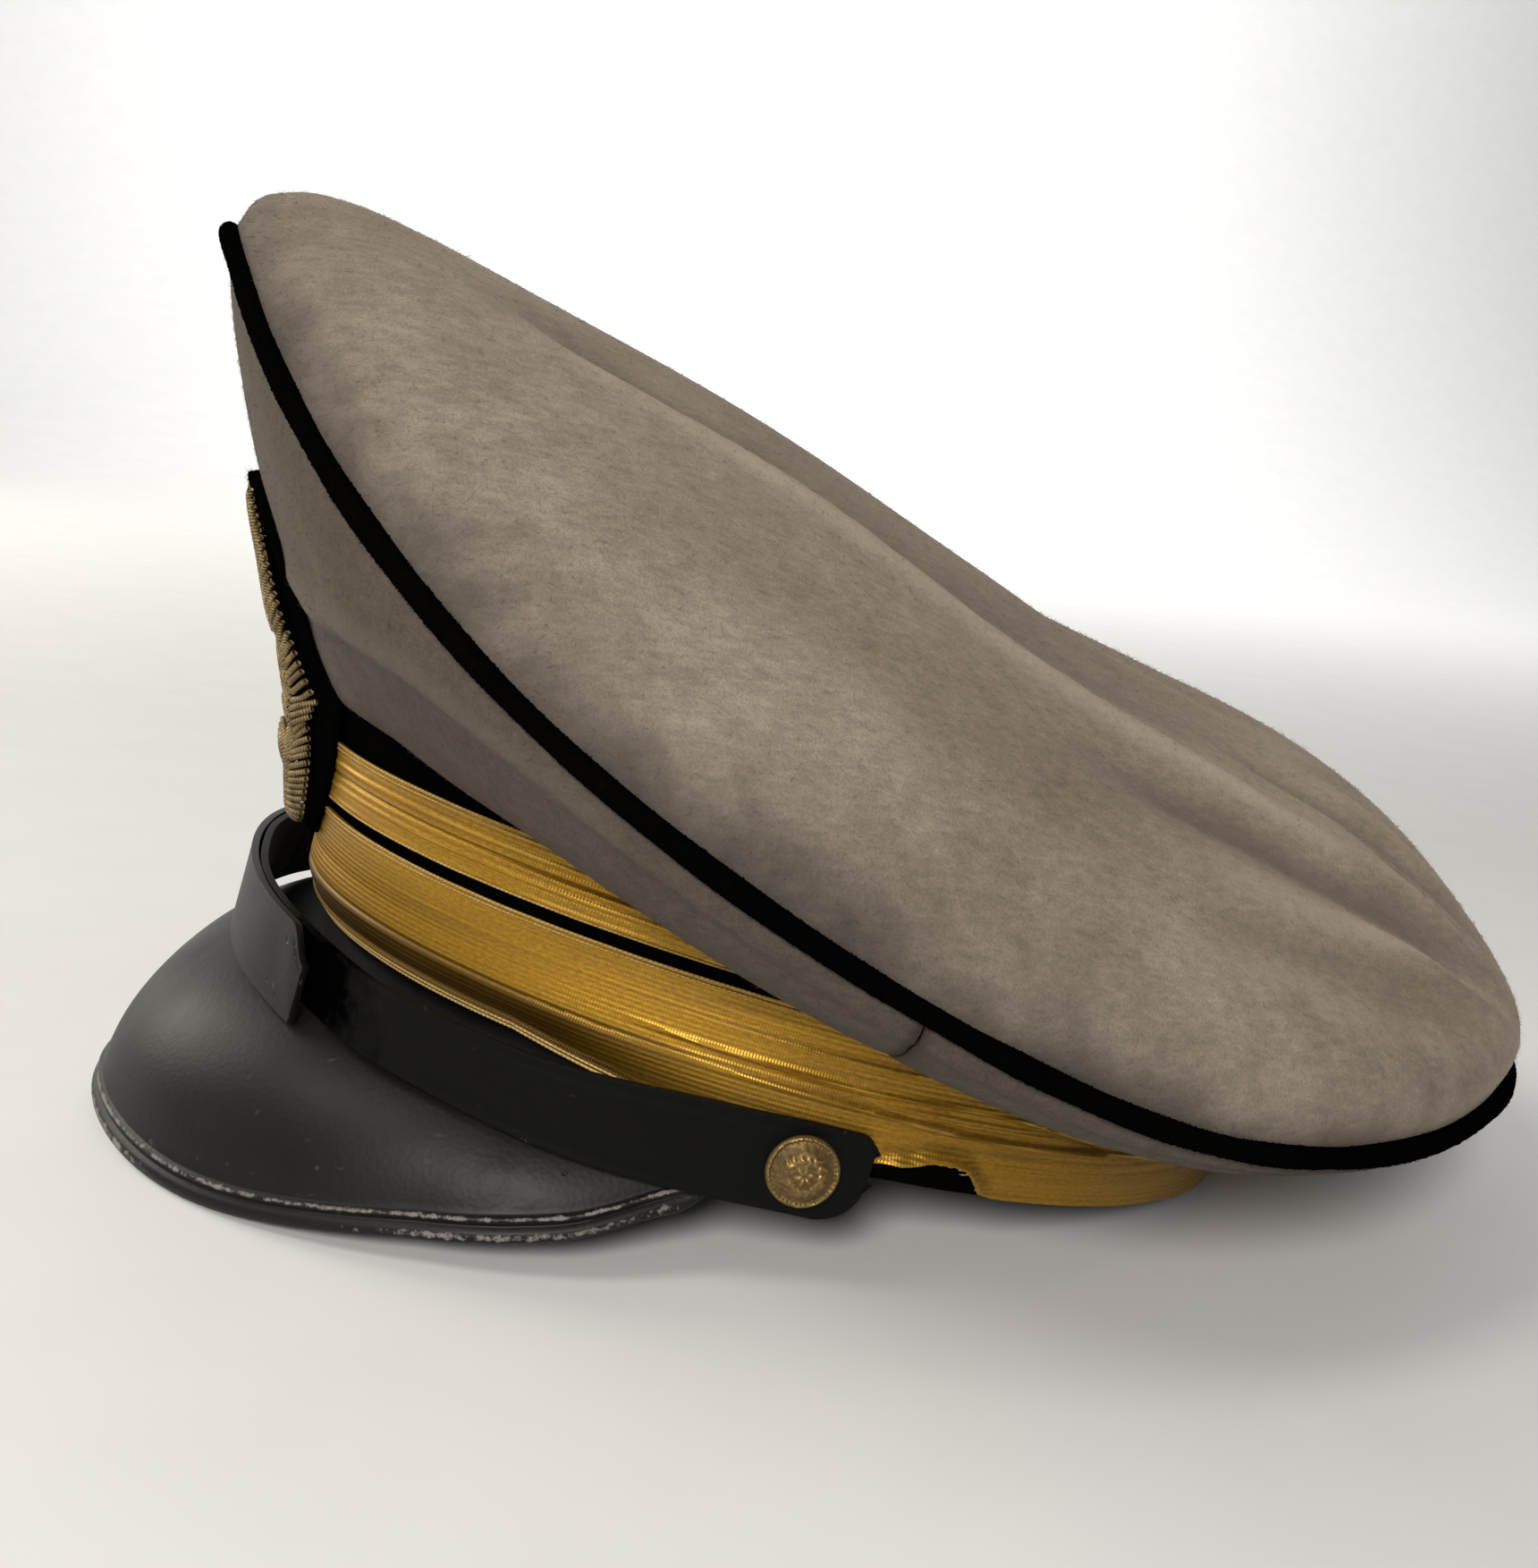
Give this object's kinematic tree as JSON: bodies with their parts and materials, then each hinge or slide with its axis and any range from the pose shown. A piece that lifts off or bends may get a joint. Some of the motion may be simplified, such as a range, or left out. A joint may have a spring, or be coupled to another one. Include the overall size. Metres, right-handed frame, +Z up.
{
  "type": "officer cap",
  "caption": "Peaked officer cap with a soft wool crown, gold laced band, leather peak, chin strap, brass buttons and a bullion wreath badge.",
  "frame": {"origin": "middle of the bounding box, on the surface that the cap rests on", "axes": "+X to the wearer's left, +Y to the back, +Z up, with the cap resting on its peak and the back of its band"},
  "size_m": [0.2592, 0.296, 0.1761],
  "materials": {
    "crown_cloth": "worn warm grey wool barathea with a soft nap",
    "side_cloth": "darker grey wool with a soft nap",
    "black_cloth": "matt black wool",
    "gold_lace": "ribbed gold metal lace, tarnished in the creases",
    "peak_leather": "black patent leather, scuffed along its rim",
    "strap_leather": "dull black leather",
    "lining_leather": "dark worn sweatband leather",
    "button_brass": "aged gilt brass, worn relief",
    "bullion": "twisted metal bullion thread, dulled"
  },
  "bodies": {
    "root": {"cloth_band": "black_cloth", "sweatband": "lining_leather", "lace_lower": "gold_lace", "lace_upper": "gold_lace", "crown_top": "crown_cloth", "side_cloth_front": "side_cloth", "side_cloth_back": "side_cloth", "crown_piping": "black_cloth", "peak": "peak_leather", "chin_strap_left": "strap_leather", "chin_strap_right": "strap_leather", "button_left": "button_brass", "button_right": "button_brass", "badge_patch": "black_cloth", "badge_boss": "bullion", "wreath_leaf_left_1": "bullion", "wreath_leaf_left_2": "bullion", "wreath_leaf_left_3": "bullion", "wreath_leaf_left_4": "bullion", "wreath_leaf_left_5": "bullion", "wreath_leaf_left_6": "bullion", "wreath_leaf_left_7": "bullion", "wreath_leaf_right_1": "bullion", "wreath_leaf_right_2": "bullion", "wreath_leaf_right_3": "bullion", "wreath_leaf_right_4": "bullion", "wreath_leaf_right_5": "bullion", "wreath_leaf_right_6": "bullion", "wreath_leaf_right_7": "bullion"}
  },
  "joints": []
}
